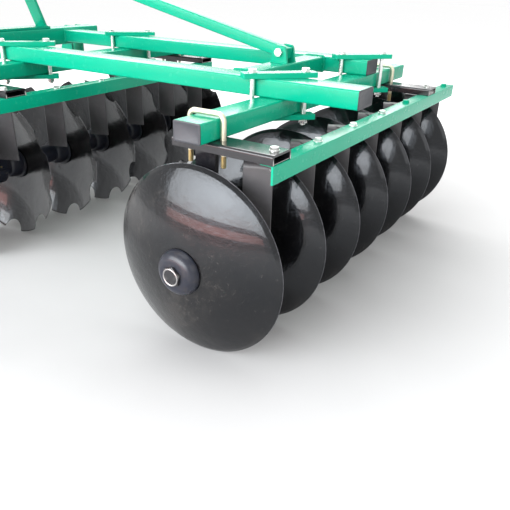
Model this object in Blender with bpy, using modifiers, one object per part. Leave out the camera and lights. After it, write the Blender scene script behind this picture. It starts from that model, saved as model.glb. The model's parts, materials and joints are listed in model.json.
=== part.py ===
# Mounted offset disc harrow: a frame of rectangular tubes carries two disc gangs, the front one
# with notched discs, the rear one with plain discs.  Metres, +Z up, +Y forward, +X right.
import bpy
import bmesh
from math import pi, sin, cos, sqrt, radians, atan2, hypot
from mathutils import Vector, Matrix

# ---------------------------------------------------------------- driving dimensions
GAP = 0.0003                # air left between pieces that touch
DISC_R = 0.280              # disc radius
DISC_T = 0.005              # disc plate thickness
DISH_R = 0.600              # radius of the sphere the disc is pressed to
DISC_FLAT = 0.064           # radius of the flat middle
DISC_BORE = 0.0225          # hole for the gang shaft
DISC_SIDES = 36             # straight edges round a plain disc
DISCS = 7                   # discs on each gang
PITCH = 0.238               # disc spacing
TEETH = 9                   # teeth of a notched disc
NOTCH = 0.040               # depth of a notch
GANG_ANGLE = 1.35           # degrees each gang is turned from square, opposite ways
GANG_SPREAD = 1.1514        # rear axle to front axle at the first front disc
SPOOL_R = 0.040             # spacer spool tube
FLANGE_R = 0.0615           # spool and end washer flange
BEARING_PLAY = 0.0005       # radial running clearance in the bearing housings
BEARING_U = 0.077           # bearing position from the first rear disc
BEARING_FRONT = 0.049       # and left of the second front disc
BEARING_STEP = 5            # disc pitches between the two bearings of a gang
HOUSING_L = 0.070           # bearing housing length along the gang
BAR_BACK = 0.214            # back face of the scraper bar behind the axle
BAR_LEG = 0.048             # scraper bar angle section
BAR_T = 0.006
BAR_CLEAR = 0.025           # top face of the scraper bars above the discs
ARM_W = 0.088               # arm channel width
ARM_H = 0.026               # arm channel height
ARM_T = 0.006
ARM_FRONT = 0.105           # arm end ahead of the axle
BEAM_W = 0.088              # gang beam section
BEAM_H = 0.055
BEAM_Y = 0.021              # beam centre line ahead of the axle
TUBE_W = 0.104              # main frame tube section
TUBE_H = 0.055
TUBE_STEPS = (1.853, 4.471) # main tube centre lines, in disc pitches from the first rear disc
TUBE_REAR = (-0.274, -0.050)
TUBE_FRONT = 1.600
CROSS_W = 0.080             # rear cross member
CROSS_Y = 0.132             # its rear face
HEAD_S = 0.080              # front cross tube, square
HEAD_L = 0.980
HITCH_SPREAD = 0.825        # between the lower hitch pins
HITCH_PIN_R = 0.014
HITCH_DROP = 0.025          # lower hitch pins below the top of the scraper bars
MAST_H = 0.610              # top hitch pin above the lower ones
TOP_PIN_R = 0.0125
UBOLT_R = 0.0075
UBOLT_SIDE = 0.0035         # air between a U-bolt leg and the beam side
UBOLT_BEND = 0.017
CLAMP_BOLT_R = 0.008
CLAMP_T = 0.016
CLAMP_W = 0.046
CLAMP_L = 0.236
SCRAPER_W = 0.078           # scraper blade
SCRAPER_T = 0.006
SCRAPER_YAW = 23.0          # blade turned from the disc plane, degrees
SCRAPER_OVER = 0.056        # lower end of the blades above the gang shaft

# ---------------------------------------------------------------- derived
AXLE_Z = DISC_R * cos(pi / DISC_SIDES)      # every disc rests on a flat of its rim
BAR_TOP = 2 * DISC_R + BAR_CLEAR
HITCH_Z = BAR_TOP - HITCH_DROP
SCRAPER_LOW = AXLE_Z + SCRAPER_OVER
TUBE_X = tuple(n * PITCH for n in TUBE_STEPS)
DISH = DISH_R - sqrt(DISH_R ** 2 - DISC_R ** 2)
FLAT_SAG = DISH_R - sqrt(DISH_R ** 2 - DISC_FLAT ** 2)
DEPTH = DISH - FLAT_SAG                     # rim plane to the flat middle
ARM_TOP = BAR_TOP + GAP + ARM_H
BEAM_LOW = ARM_TOP + GAP
BEAM_TOP = BEAM_LOW + BEAM_H
TUBE_LOW = BEAM_TOP + GAP
TUBE_TOP = TUBE_LOW + TUBE_H
GANG_L = (DISCS - 1) * PITCH
HITCH_X = sum(TUBE_X) / 2
TURN = radians(GANG_ANGLE)

for old in list(bpy.data.objects):
    bpy.data.objects.remove(old, do_unlink=True)
coll = bpy.data.collections.new("disc_harrow")
tools = bpy.data.collections.new("shaping_tools")
bpy.context.scene.collection.children.link(coll)
bpy.context.scene.collection.children.link(tools)


def material(name, rgb, rough, metal):
    m = bpy.data.materials.new(name)
    m.use_nodes = True
    b = m.node_tree.nodes["Principled BSDF"]
    b.inputs["Base Color"].default_value = (*rgb, 1)
    b.inputs["Roughness"].default_value = rough
    b.inputs["Metallic"].default_value = metal
    return m


GREEN = material("green_paint", (0.02, 0.56, 0.33), 0.35, 0.0)
BLACK = material("black_paint", (0.025, 0.025, 0.03), 0.45, 0.0)
DISC = material("disc_enamel", (0.02, 0.02, 0.022), 0.2, 0.1)
ZINC = material("zinc_plate", (0.62, 0.62, 0.6), 0.35, 0.9)


def empty(name, loc=(0, 0, 0), parent=None, turn=0.0):
    e = bpy.data.objects.new(name, None)
    coll.objects.link(e)
    e.location = loc
    e.rotation_euler = (0, 0, turn)
    e.parent = parent
    return e


def mesh_object(name, bm, mat, parent=None, loc=(0, 0, 0), rot=(0, 0, 0), into=None):
    bmesh.ops.recalc_face_normals(bm, faces=bm.faces)
    me = bpy.data.meshes.new(name)
    bm.to_mesh(me)
    bm.free()
    if mat:
        me.materials.append(mat)
    ob = bpy.data.objects.new(name, me)
    (into or coll).objects.link(ob)
    ob.location, ob.rotation_euler, ob.parent = loc, rot, parent
    return ob


def add_box(bm, lo, hi):
    lo, hi = Vector(lo), Vector(hi)
    made = bmesh.ops.create_cube(bm, size=1.0)["verts"]
    for v in made:
        v.co = Vector([lo[i] + (v.co[i] + 0.5) * (hi[i] - lo[i]) for i in range(3)])
    return made


def add_prism(bm, outline, lo, hi, axis):
    """Extrude a flat outline between lo and hi; axis names the direction it is pulled along."""
    def at(p, w):
        a, b = p
        return {"X": (w, a, b), "Y": (a, w, b), "Z": (a, b, w)}[axis]
    low = [bm.verts.new(at(p, lo)) for p in outline]
    high = [bm.verts.new(at(p, hi)) for p in outline]
    n = len(outline)
    bm.faces.new(low)
    bm.faces.new(high)
    for i in range(n):
        j = (i + 1) % n
        bm.faces.new((low[i], low[j], high[j], high[i]))
    return low + high


def add_cyl(bm, a, b, r, n=12):
    a, b = Vector(a), Vector(b)
    made = bmesh.ops.create_cone(bm, cap_ends=True, segments=n, radius1=r, radius2=r,
                                 depth=(b - a).length)["verts"]
    turn = Vector((0, 0, 1)).rotation_difference(b - a).to_matrix().to_4x4()
    bmesh.ops.transform(bm, matrix=Matrix.Translation((a + b) / 2) @ turn, verts=made)
    return made


def add_rod(bm, path, r, n=8):
    """Round bar swept along a path of points."""
    rings, side = [], None
    pts = [Vector(p) for p in path]
    for i, p in enumerate(pts):
        t = (pts[min(i + 1, len(pts) - 1)] - pts[max(i - 1, 0)]).normalized()
        side = Vector((1, 0, 0)) if side is None else side
        up = t.cross(side).normalized()
        rings.append([bm.verts.new(p + (side * cos(2 * pi * k / n) + up * sin(2 * pi * k / n)) * r)
                      for k in range(n)])
    bm.faces.new(rings[0])
    bm.faces.new(rings[-1])
    for one, two in zip(rings, rings[1:]):
        for k in range(n):
            m = (k + 1) % n
            bm.faces.new((one[k], one[m], two[m], two[k]))


def shape(ob, fill, how, name):
    """Add or cut a helper solid; the helper follows the object it shapes."""
    bm = bmesh.new()
    fill(bm)
    helper = mesh_object(name, bm, None, parent=ob, into=tools)
    helper.hide_render = True
    helper.display_type = "WIRE"
    mod = ob.modifiers.new(name[:40], "BOOLEAN")
    mod.operation, mod.solver, mod.object = how, "EXACT", helper
    return ob


def revolve(name, profile, mat, parent, loc, steps, smooth=True):
    """Turn a profile of (radius, u) points about the gang axis; u runs along +X.
    The outline starts half a step round, so a flat and not a corner points down."""
    me = bpy.data.meshes.new(name)
    c, s = cos(pi / steps), sin(pi / steps)
    me.from_pydata([(r * c, r * s, u) for r, u in profile], [(i, i + 1) for i in range(len(profile) - 1)], [])
    me.materials.append(mat)
    ob = bpy.data.objects.new(name, me)
    coll.objects.link(ob)
    mod = ob.modifiers.new("turned", "SCREW")
    mod.steps = mod.render_steps = steps
    mod.use_merge_vertices = True
    mod.merge_threshold = 0.00005
    mod.use_smooth_shade = smooth
    ob.location, ob.rotation_euler, ob.parent = loc, (0, pi / 2, 0), parent
    return ob


root = empty("harrow_root")
rear = empty("rear_gang_frame", (0, 0, 0), root, -TURN)
front = empty("front_gang_frame", (0, GANG_SPREAD, 0), root, TURN)
rear_spin = empty("rear_gang_spin", (0, 0, AXLE_Z), rear)
front_spin = empty("front_gang_spin", (0, 0, AXLE_Z), front)


# ---------------------------------------------------------------- discs
def dish_at(r, flat):
    """Distance from the rim plane to the hollow face at radius r."""
    return flat if r <= DISC_FLAT else flat - (DISH_R - sqrt(DISH_R ** 2 - r * r)) + FLAT_SAG


def plain_disc(name, u, parent):
    """Hollow side towards +X, rim plane at u."""
    rings = (DISC_BORE, DISC_FLAT, 0.170, DISC_R)
    inner = [(r, -dish_at(r, DEPTH)) for r in rings]
    outer = [(r, -dish_at(r, DEPTH) - DISC_T) for r in rings]
    outer[-1] = (DISC_R, -0.0015)
    inner[-1] = (DISC_R - 0.006, inner[-1][1])
    loop = inner + outer[::-1] + inner[:1]
    return revolve(name, loop, DISC, parent, (u, 0, 0), DISC_SIDES)


def notched_disc(name, u, parent):
    """Hollow side towards -X, rim plane at u; a tooth points straight down."""
    step = 2 * pi / TEETH
    spots = [(-10, 0), (-5, 0), (5, 0), (10, 0), (20, NOTCH)]
    bm = bmesh.new()
    sides = []
    for thick in (0.0, DISC_T):
        rings = []
        for r0 in (DISC_BORE, DISC_FLAT, 0.165, None):
            ring = []
            for k in range(TEETH):
                for deg, cut in spots:
                    a = -pi / 2 + k * step + radians(deg) * (40.0 * TEETH / 360.0)
                    r = r0 or DISC_R - cut
                    ring.append(bm.verts.new((dish_at(r, DEPTH) + thick, cos(a) * r, sin(a) * r)))
            rings.append(ring)
        for a, b in zip(rings, rings[1:]):
            for i in range(len(a)):
                j = (i + 1) % len(a)
                bm.faces.new((a[i], a[j], b[j], b[i]))
        sides.append(rings)
    for one, two in ((sides[0][0], sides[1][0]), (sides[0][-1], sides[1][-1])):
        for i in range(len(one)):
            j = (i + 1) % len(one)
            bm.faces.new((one[i], one[j], two[j], two[i]))
    return mesh_object(name, bm, DISC, parent, (u, 0, 0))


for k in range(DISCS):
    plain_disc("rear_disc_%d" % (k + 1), k * PITCH, rear_spin)
    notched_disc("front_disc_%d" % (k + 1), k * PITCH, front_spin)


# ---------------------------------------------------------------- gang shafts with their spools
def gang_axle(name, parent, sign):
    """Shaft, spacer spools, end washers and nuts turned in one piece.
    sign +1: hollow faces towards +u, -1: towards -u (the outline is mirrored)."""
    hollow, back = -DEPTH + GAP, -DEPTH - DISC_T - GAP
    shaft = DISC_BORE - GAP * 2
    pts = [(0.0, back - 0.060), (0.0210, back - 0.060), (0.0210, back - 0.034),
           (0.034, back - 0.034), (0.054, back - 0.022), (FLANGE_R + 0.002, back - 0.004),
           (FLANGE_R + 0.002, back), (shaft, back)]
    for k in range(DISCS):
        u = k * PITCH
        pts += [(shaft, u + hollow), (FLANGE_R, u + hollow), (FLANGE_R - 0.004, u + hollow + 0.018),
                (SPOOL_R, u + hollow + 0.042)]
        if k < DISCS - 1:
            v = u + PITCH + back
            pts += [(SPOOL_R, v), (shaft, v)]
    end = GANG_L + hollow + 0.042
    pts += [(SPOOL_R, end + 0.002), (0.0210, end + 0.002), (0.0210, end + 0.030), (0.0, end + 0.030)]
    if sign > 0:
        loop = pts[::-1]
    else:
        loop = [(r, GANG_L - u) for r, u in pts]
    return revolve(name, loop, BLACK, parent, (0, 0, 0), 12)


gang_axle("rear_gang_axle", rear_spin, 1)
gang_axle("front_gang_axle", front_spin, -1)


# ---------------------------------------------------------------- gang carriers
def u_bolt(name, x, parent):
    half = BEAM_W / 2 + UBOLT_R + UBOLT_SIDE
    top = BEAM_TOP + UBOLT_SIDE - 0.0005 + UBOLT_R
    low, bend = BAR_TOP - 0.050, UBOLT_BEND
    path = [(x, BEAM_Y - half, low), (x, BEAM_Y - half, top - bend)]
    for i in range(1, 5):
        a = pi - i * pi / 8
        path.append((x, BEAM_Y - half + bend + bend * cos(a), top - bend + bend * sin(a)))
    path += [(p[0], 2 * BEAM_Y - p[1], p[2]) for p in path[::-1]]
    bm = bmesh.new()
    add_rod(bm, path, UBOLT_R)
    ob = mesh_object(name, bm, ZINC, parent)
    for side in (-1, 1):
        y = BEAM_Y + side * half

        def nut(b, y=y):
            under = ARM_TOP - ARM_T - GAP
            add_cyl(b, (x, y, under - 0.013), (x, y, under), 0.0135, 6)
        shape(ob, nut, "UNION", "%s_nut_%d" % (name, side))
    return ob


def arm(name, x, parent, back, fore):
    w, h, t = ARM_W / 2, ARM_H, ARM_T
    z = BAR_TOP + GAP
    outline = [(x - w, z), (x - w, z + h), (x + w, z + h), (x + w, z), (x + w - t, z),
               (x + w - t, z + h - t), (x - w + t, z + h - t), (x - w + t, z)]
    bm = bmesh.new()
    add_prism(bm, outline, back, fore, "Y")
    ob = mesh_object(name, bm, BLACK, parent)

    def holes(b):
        half = BEAM_W / 2 + UBOLT_R + UBOLT_SIDE
        for side in (-1, 1):
            y = BEAM_Y + side * half
            add_cyl(b, (x, y, z), (x, y, z + h + 0.01), UBOLT_R + 0.0008, 12)
    return shape(ob, holes, "DIFFERENCE", name + "_holes")


def hanger(name, x, parent):
    """Bearing hanger: web plate, foot and the bearing housing round the spool."""
    top = ARM_TOP - ARM_T - GAP
    c = AXLE_Z
    web = [(BEAM_Y - 0.033, top - 0.006), (BEAM_Y + 0.033, top - 0.006), (BEAM_Y + 0.033, BAR_TOP - 0.085),
           (0.060, c + 0.151), (0.060, c + 0.055), (-0.060, c + 0.055), (-0.060, c + 0.151),
           (BEAM_Y - 0.033, BAR_TOP - 0.085)]
    bm = bmesh.new()
    add_prism(bm, web, x - 0.008, x + 0.008, "X")
    ob = mesh_object(name, bm, BLACK, parent)
    block = [(-0.064, c + 0.063), (0.064, c + 0.063), (0.064, c - 0.012)]
    block += [(0.064 * cos(a), c - 0.012 - 0.052 * sin(a)) for a in (pi / 6, pi / 3, pi / 2)]
    block += [(-0.064 * cos(a), c - 0.012 - 0.052 * sin(a)) for a in (pi / 3, pi / 6)]
    block += [(-0.064, c - 0.012)]
    shape(ob, lambda b: add_prism(b, block, x - HOUSING_L / 2, x + HOUSING_L / 2, "X"),
          "UNION", name + "_housing")
    shape(ob, lambda b: add_box(b, (x - 0.034, BEAM_Y - 0.034, top - 0.010), (x + 0.034, BEAM_Y + 0.034, top)),
          "UNION", name + "_cap_plate")
    bore = (SPOOL_R + BEARING_PLAY) / cos(pi / 24)
    shape(ob, lambda b: add_cyl(b, (x - 0.06, 0, c), (x + 0.06, 0, c), bore, 24),
          "DIFFERENCE", name + "_bore")
    return ob


def scraper_bar(name, lo, hi, parent):
    y, z = -BAR_BACK, BAR_TOP
    outline = [(y, z), (y + BAR_LEG, z), (y + BAR_LEG, z - BAR_T), (y + BAR_T, z - BAR_T),
               (y + BAR_T, z - BAR_LEG), (y, z - BAR_LEG)]
    bm = bmesh.new()
    add_prism(bm, outline, lo, hi, "X")
    return mesh_object(name, bm, GREEN, parent)


def scraper(name, u, parent, sign):
    """Blade standing in the hollow side of a disc, with a foot bolted under the bar flange."""
    top = BAR_TOP - BAR_T - GAP
    cx, cy = u + sign * 0.0765, -0.143
    bm = bmesh.new()
    made = add_box(bm, (-SCRAPER_T / 2, -SCRAPER_W / 2, SCRAPER_LOW), (SCRAPER_T / 2, SCRAPER_W / 2, top - 0.002))
    turn = Matrix.Translation((cx, cy, 0)) @ Matrix.Rotation(sign * radians(SCRAPER_YAW), 4, "Z")
    bmesh.ops.transform(bm, matrix=turn, verts=made)
    ob = mesh_object(name, bm, BLACK, parent)
    x0, x1 = cx - sign * 0.022, cx + sign * 0.040
    shape(ob, lambda b: add_box(b, (min(x0, x1), -0.204, top - 0.006), (max(x0, x1), -0.112, top)),
          "UNION", name + "_foot")
    return ob


def gang_set(side, parent, sign):
    first = BEARING_U if sign > 0 else PITCH - BEARING_FRONT
    spots = (first, first + BEARING_STEP * PITCH)
    for word, x in zip(("left", "right"), spots):
        arm("%s_arm_%s" % (side, word), x, parent, -0.212, ARM_FRONT)
        hanger("%s_hanger_%s" % (side, word), x, parent)
        u_bolt("%s_ubolt_%s" % (side, word), x, parent)
    if sign > 0:
        scraper_bar(side + "_scraper_bar", spots[0] - ARM_W / 2, GANG_L + 0.144, parent)
    else:
        scraper_bar(side + "_scraper_bar", -0.144, spots[1] + ARM_W / 2, parent)
    for k in range(DISCS):
        scraper("%s_scraper_%d" % (side, k + 1), k * PITCH, parent, sign)
    bm = bmesh.new()
    add_box(bm, (-0.007, BEAM_Y - BEAM_W / 2, BEAM_LOW), (GANG_L + 0.007, BEAM_Y + BEAM_W / 2, BEAM_TOP))
    mesh_object(side + "_gang_beam", bm, GREEN, parent)


gang_set("rear", rear, 1)
gang_set("front", front, -1)


# ---------------------------------------------------------------- main frame
def frame_box(name, lo, hi, mat=GREEN):
    bm = bmesh.new()
    add_box(bm, lo, hi)
    return mesh_object(name, bm, mat, root)


for word, x, back in zip(("left", "right"), TUBE_X, TUBE_REAR):
    frame_box("main_tube_" + word, (x - TUBE_W / 2, back, TUBE_LOW), (x + TUBE_W / 2, TUBE_FRONT, TUBE_TOP))

cross = frame_box("rear_cross_member", (TUBE_X[0] + TUBE_W / 2 + GAP, CROSS_Y, TUBE_LOW),
                  (TUBE_X[1] - TUBE_W / 2 - GAP, CROSS_Y + CROSS_W, TUBE_TOP))
foot = Vector((HITCH_X, CROSS_Y + CROSS_W / 2, TUBE_TOP + 0.036))
for side in (-1, 1):
    def lug(b, side=side):
        x0, x1 = sorted((foot.x + side * 0.0230, foot.x + side * 0.033))
        add_prism(b, [(foot.y - 0.034, TUBE_TOP - 0.004), (foot.y + 0.034, TUBE_TOP - 0.004),
                      (foot.y + 0.022, foot.z + 0.022), (foot.y - 0.022, foot.z + 0.022)], x0, x1, "X")
    shape(cross, lug, "UNION", "stay_lug_%d" % side)
shape(cross, lambda b: add_cyl(b, (foot.x - 0.045, foot.y, foot.z), (foot.x + 0.045, foot.y, foot.z), 0.009, 12),
      "UNION", "stay_foot_bolt")

head_y = TUBE_FRONT + GAP
head_z = (TUBE_LOW + TUBE_TOP) / 2
head = frame_box("front_cross_tube", (HITCH_X - HEAD_L / 2, head_y, head_z - HEAD_S / 2),
                 (HITCH_X + HEAD_L / 2, head_y + HEAD_S, head_z + HEAD_S / 2))

# lower hitch brackets: two cheeks and the pin between them
pin_y = head_y + HEAD_S + 0.058
for word, side in (("left", -1), ("right", 1)):
    x = HITCH_X + side * HITCH_SPREAD / 2
    y0, z1, z0 = head_y + HEAD_S + GAP, head_z + HEAD_S / 2, head_z - HEAD_S / 2
    cheek = [(y0, z1), (y0, z0 - 0.060), (pin_y - 0.030, HITCH_Z - 0.034), (pin_y + 0.024, HITCH_Z - 0.034),
             (pin_y + 0.036, HITCH_Z - 0.010), (pin_y + 0.034, HITCH_Z + 0.030), (y0 + 0.040, z1)]
    bm = bmesh.new()
    add_prism(bm, cheek, x - 0.042, x - 0.030, "X")
    ob = mesh_object("lower_hitch_" + word, bm, GREEN, root)
    shape(ob, lambda b: add_prism(b, cheek, x + 0.030, x + 0.042, "X"), "UNION", "cheek_" + word)
    shape(ob, lambda b: add_cyl(b, (x - 0.058, pin_y, HITCH_Z), (x + 0.058, pin_y, HITCH_Z), HITCH_PIN_R, 16),
          "UNION", "hitch_pin_" + word)
    shape(ob, lambda b: add_box(b, (x - 0.036, y0, z0 + 0.010), (x + 0.036, y0 + 0.010, z1 - 0.010)),
          "UNION", "hitch_back_" + word)

# mast: two uprights leaning together, joined by the top hitch pin
top_pin = Vector((HITCH_X, head_y + HEAD_S / 2, HITCH_Z + MAST_H))
MAST_T, MAST_W, SPLAY, INNER = 0.014, 0.070, 0.150, 0.0285
base_z = head_z + HEAD_S / 2 + GAP
bend_z = top_pin.z - 0.110
bm = bmesh.new()


def upright(b, s):
    line = [(HITCH_X + s * SPLAY, base_z), (HITCH_X + s * (SPLAY + MAST_T), base_z),
            (HITCH_X + s * (INNER + MAST_T), bend_z), (HITCH_X + s * (INNER + MAST_T), top_pin.z + 0.040),
            (HITCH_X + s * INNER, top_pin.z + 0.040), (HITCH_X + s * INNER, bend_z)]
    add_prism(b, line, top_pin.y - MAST_W / 2, top_pin.y + MAST_W / 2, "Y")


upright(bm, -1)
mast = mesh_object("mast", bm, GREEN, root)
shape(mast, lambda b: upright(b, 1), "UNION", "mast_other_side")
shape(mast, lambda b: add_cyl(b, (HITCH_X - 0.070, top_pin.y, top_pin.z), (HITCH_X + 0.070, top_pin.y, top_pin.z),
                              TOP_PIN_R, 16), "UNION", "top_hitch_pin")
stay_top = Vector((HITCH_X, top_pin.y, top_pin.z - 0.075))
shape(mast, lambda b: add_cyl(b, (HITCH_X - 0.060, stay_top.y, stay_top.z), (HITCH_X + 0.060, stay_top.y, stay_top.z),
                              0.009, 12), "UNION", "stay_head_bolt")
shape(mast, lambda b: add_box(b, (HITCH_X - SPLAY - 0.030, top_pin.y - 0.038, base_z),
                              (HITCH_X + SPLAY + 0.030, top_pin.y + 0.038, base_z + 0.010)), "UNION", "mast_foot")

# stay from the mast head down to the rear cross member
run = stay_top - foot
along, span = atan2(run.z, run.y), hypot(run.y, run.z)
bm = bmesh.new()
made = add_box(bm, (-0.022, -0.022, -0.019), (0.022, span + 0.022, 0.019))
tilt = Matrix.Translation(foot) @ Matrix.Rotation(along, 4, "X")
bmesh.ops.transform(bm, matrix=tilt, verts=made)
stay = mesh_object("mast_stay", bm, GREEN, root)
for word, spot in (("foot", foot), ("head", stay_top)):
    shape(stay, lambda b: add_cyl(b, (spot.x - 0.05, spot.y, spot.z), (spot.x + 0.05, spot.y, spot.z),
                                  0.0096, 12), "DIFFERENCE", "stay_hole_" + word)


# ---------------------------------------------------------------- beam clamps
def clamp(name, x, side):
    """Two diagonal flats and two bolts that squeeze a main tube onto a gang beam."""
    if side == "rear":
        y, turn = (BEAM_Y - x * sin(TURN)) / 1.0, -TURN
    else:
        y, turn = GANG_SPREAD + BEAM_Y + x * sin(TURN), TURN
    dx, dy = TUBE_W / 2 + CLAMP_BOLT_R + 0.003, BEAM_W / 2 + CLAMP_BOLT_R + 0.005
    lean = -atan2(dy, dx)
    place = Matrix.Translation((x, y, 0)) @ Matrix.Rotation(lean, 4, "Z")
    up, low = TUBE_TOP + GAP, BEAM_LOW - GAP
    bm = bmesh.new()
    made = add_box(bm, (-CLAMP_L / 2, -CLAMP_W / 2, up), (CLAMP_L / 2, CLAMP_W / 2, up + CLAMP_T))
    bmesh.ops.transform(bm, matrix=place, verts=made)
    ob = mesh_object(name, bm, GREEN, root)

    def bottom(b):
        m = add_box(b, (-CLAMP_L / 2, -CLAMP_W / 2, low - CLAMP_T), (CLAMP_L / 2, CLAMP_W / 2, low))
        bmesh.ops.transform(b, matrix=place, verts=m)
    shape(ob, bottom, "UNION", name + "_lower_flat")
    for s in (-1, 1):
        p = place @ Vector((s * hypot(dx, dy), 0, 0))
        shape(ob, lambda b: add_cyl(b, (p.x, p.y, low - CLAMP_T - 0.022), (p.x, p.y, up + CLAMP_T + 0.004),
                                    CLAMP_BOLT_R, 12), "UNION", "%s_bolt_%d" % (name, s))
        shape(ob, lambda b: add_cyl(b, (p.x, p.y, up + CLAMP_T - 0.002), (p.x, p.y, up + CLAMP_T + 0.010),
                                    0.0139, 6), "UNION", "%s_head_%d" % (name, s))
        shape(ob, lambda b: add_cyl(b, (p.x, p.y, low - CLAMP_T - 0.014), (p.x, p.y, low - CLAMP_T + 0.002),
                                    0.0139, 6), "UNION", "%s_nut_%d" % (name, s))
    return ob


for side in ("rear", "front"):
    for word, x in zip(("left", "right"), TUBE_X):
        clamp("%s_clamp_%s" % (side, word), x, side)


# ---------------------------------------------------------------- origin under the middle
def recentre():
    bpy.context.view_layer.update()
    graph = bpy.context.evaluated_depsgraph_get()
    lo, hi = Vector((1e9,) * 3), Vector((-1e9,) * 3)
    for ob in coll.objects:
        if ob.type != "MESH":
            continue
        done = ob.evaluated_get(graph)
        me = done.to_mesh()
        for v in me.vertices:
            w = ob.matrix_world @ v.co
            for i in range(3):
                lo[i], hi[i] = min(lo[i], w[i]), max(hi[i], w[i])
        done.to_mesh_clear()
    root.location = (-(lo.x + hi.x) / 2, -(lo.y + hi.y) / 2, -lo.z)
    bpy.context.view_layer.update()


recentre()
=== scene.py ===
import bpy
import bmesh
import json
from math import pi, sin, cos, sqrt, radians, atan2, hypot, ceil
from mathutils import Matrix, Vector


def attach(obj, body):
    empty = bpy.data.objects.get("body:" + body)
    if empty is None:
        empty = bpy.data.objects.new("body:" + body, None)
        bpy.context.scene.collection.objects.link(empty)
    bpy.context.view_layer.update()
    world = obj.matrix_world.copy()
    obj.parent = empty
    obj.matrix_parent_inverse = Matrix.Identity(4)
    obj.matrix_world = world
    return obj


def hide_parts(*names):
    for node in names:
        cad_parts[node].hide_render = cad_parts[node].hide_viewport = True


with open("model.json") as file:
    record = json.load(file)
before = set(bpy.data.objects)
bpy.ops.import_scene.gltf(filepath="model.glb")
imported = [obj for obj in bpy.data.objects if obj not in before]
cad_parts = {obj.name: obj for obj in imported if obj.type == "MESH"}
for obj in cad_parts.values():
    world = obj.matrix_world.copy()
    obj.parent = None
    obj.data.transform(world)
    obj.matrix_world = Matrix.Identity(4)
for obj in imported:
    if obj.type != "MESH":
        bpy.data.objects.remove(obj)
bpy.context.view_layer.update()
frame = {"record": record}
joint = {j["name"]: j for j in frame["record"]["behaviour"]["joints"]}

# ------------------------------------------------------------------ sizes in metres, as in the CAD part
GAP = 0.0003                                        # air between pieces that touch
DISC_R, DISC_T, BORE = 0.280, 0.005, 0.0225         # radius, plate and shaft hole of a disc
DISH_R, DISC_FLAT = 0.600, 0.064                    # radius of its dishing, and of its flat middle
DISCS, PITCH = 7, 0.238                             # discs on a gang, and their spacing
TEETH, NOTCH = 9, 0.040                             # of a notched disc
TURN = radians(1.35)                                # each gang's turn from square, opposite ways
SPOOL_R, FLANGE_R = 0.040, 0.0615                   # spools between the discs
BAR_BACK, BAR_TOP = 0.214, 0.585                    # back and top faces of the scraper bars
BAR_LEG, BAR_T, BAR_OVER = 0.048, 0.006, 0.144      # angle section, and the end past the last disc
BLADE_W, BLADE_T, BLADE_Y = 0.078, 0.006, -0.143    # scraper blade, and its middle from the shaft
BLADE_X = {"rear": 0.0765, "front": -0.0690}        # its middle beside its disc
BLADE_LOW = {1: 0.335, -1: 0.345}                   # height of its lower end, by the side of the hollow faces
BLADE_TURN = radians(23.0)                          # its turn from the disc's plane
BOLT_X, BOLT_Y = 0.080, 0.027                       # scraper bolt beside its disc, ahead of the bar's back
ARM_W, ARM_H, ARM_T = 0.088, 0.026, 0.006           # arm channel
ARM_FRONT, ARM_REAR = 0.105, -0.212
BEAM_W, BEAM_H, BEAM_Y = 0.088, 0.055, 0.021        # gang beam, and its middle ahead of the shaft
BEAM_OVER = 0.007                                   # its ends past the outer discs
TUBE_W, TUBE_H = 0.104, 0.055                       # main tubes
TUBE_X = (1.853 * PITCH, 4.471 * PITCH)
TUBE_REAR, TUBE_FRONT = (-0.274, -0.050), 1.600
CROSS_W, CROSS_Y = 0.080, 0.132                     # rear cross member, and its rear face
CLAMP_L, CLAMP_W, CLAMP_T = 0.236, 0.046, 0.016     # clamp plates
HEAD_S, HEAD_L = 0.080, 0.980                       # front cross tube
HITCH_SPREAD, HITCH_Z, MAST_H = 0.825, 0.560, 0.610
HITCH_PIN_R, TOP_PIN_R, STAY_PIN_R = 0.014, 0.0125, 0.009
AXLE_Z = DISC_R * cos(pi / 36)
DISH = DISH_R - sqrt(DISH_R ** 2 - DISC_R ** 2)
DEPTH = DISH - (DISH_R - sqrt(DISH_R ** 2 - DISC_FLAT ** 2))
ARM_TOP = BAR_TOP + GAP + ARM_H
BEAM_LOW = ARM_TOP + GAP
BEAM_TOP = BEAM_LOW + BEAM_H
TUBE_LOW = BEAM_TOP + GAP
TUBE_TOP = TUBE_LOW + TUBE_H
GANG_L = (DISCS - 1) * PITCH
HITCH_X = sum(TUBE_X) / 2
UB_R, UB_SIDE, UB_BEND = 0.0075, 0.0035, 0.017      # U-bolt bar, its air beside the beam, its bends
SPOTS = {"rear": (0.077, 0.077 + 5 * PITCH), "front": (PITCH - 0.049, 6 * PITCH - 0.049)}
SIGN = {"rear": 1, "front": -1}
ox, oy, _ = joint["rear_gang_spin"]["pos_m"]
fx, fy, _ = joint["front_gang_spin"]["pos_m"]
ROOT = Matrix.Translation((ox, oy, 0))              # on the ground, below the rear gang's first disc
GANG = {"rear": ROOT @ Matrix.Rotation(-TURN, 4, "Z"),
        "front": Matrix.Translation((fx, fy, 0)) @ Matrix.Rotation(TURN, 4, "Z")}
SPREAD = fy - oy                                    # between the two gangs


# ------------------------------------------------------------------ materials
def new_mat(name):
    m = bpy.data.materials.new(name)
    m.use_nodes = True
    return m, m.node_tree, m.node_tree.nodes["Principled BSDF"]


def node(t, kind, **kw):
    n = t.nodes.new(kind)
    for k, v in kw.items():
        if k in n.inputs:
            n.inputs[k].default_value = v
        else:
            setattr(n, k, v)
    return n


def noise(t, scale, detail=4.0, rough=0.55):
    n = node(t, "ShaderNodeTexNoise", Scale=scale, Detail=detail, Roughness=rough)
    t.links.new(coords(t), n.inputs["Vector"])
    return n.outputs["Fac"]


def coords(t):
    """The one Object coordinate output of a node tree."""
    for n in t.nodes:
        if n.bl_idname == "ShaderNodeTexCoord":
            return n.outputs["Object"]
    return t.nodes.new("ShaderNodeTexCoord").outputs["Object"]


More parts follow.
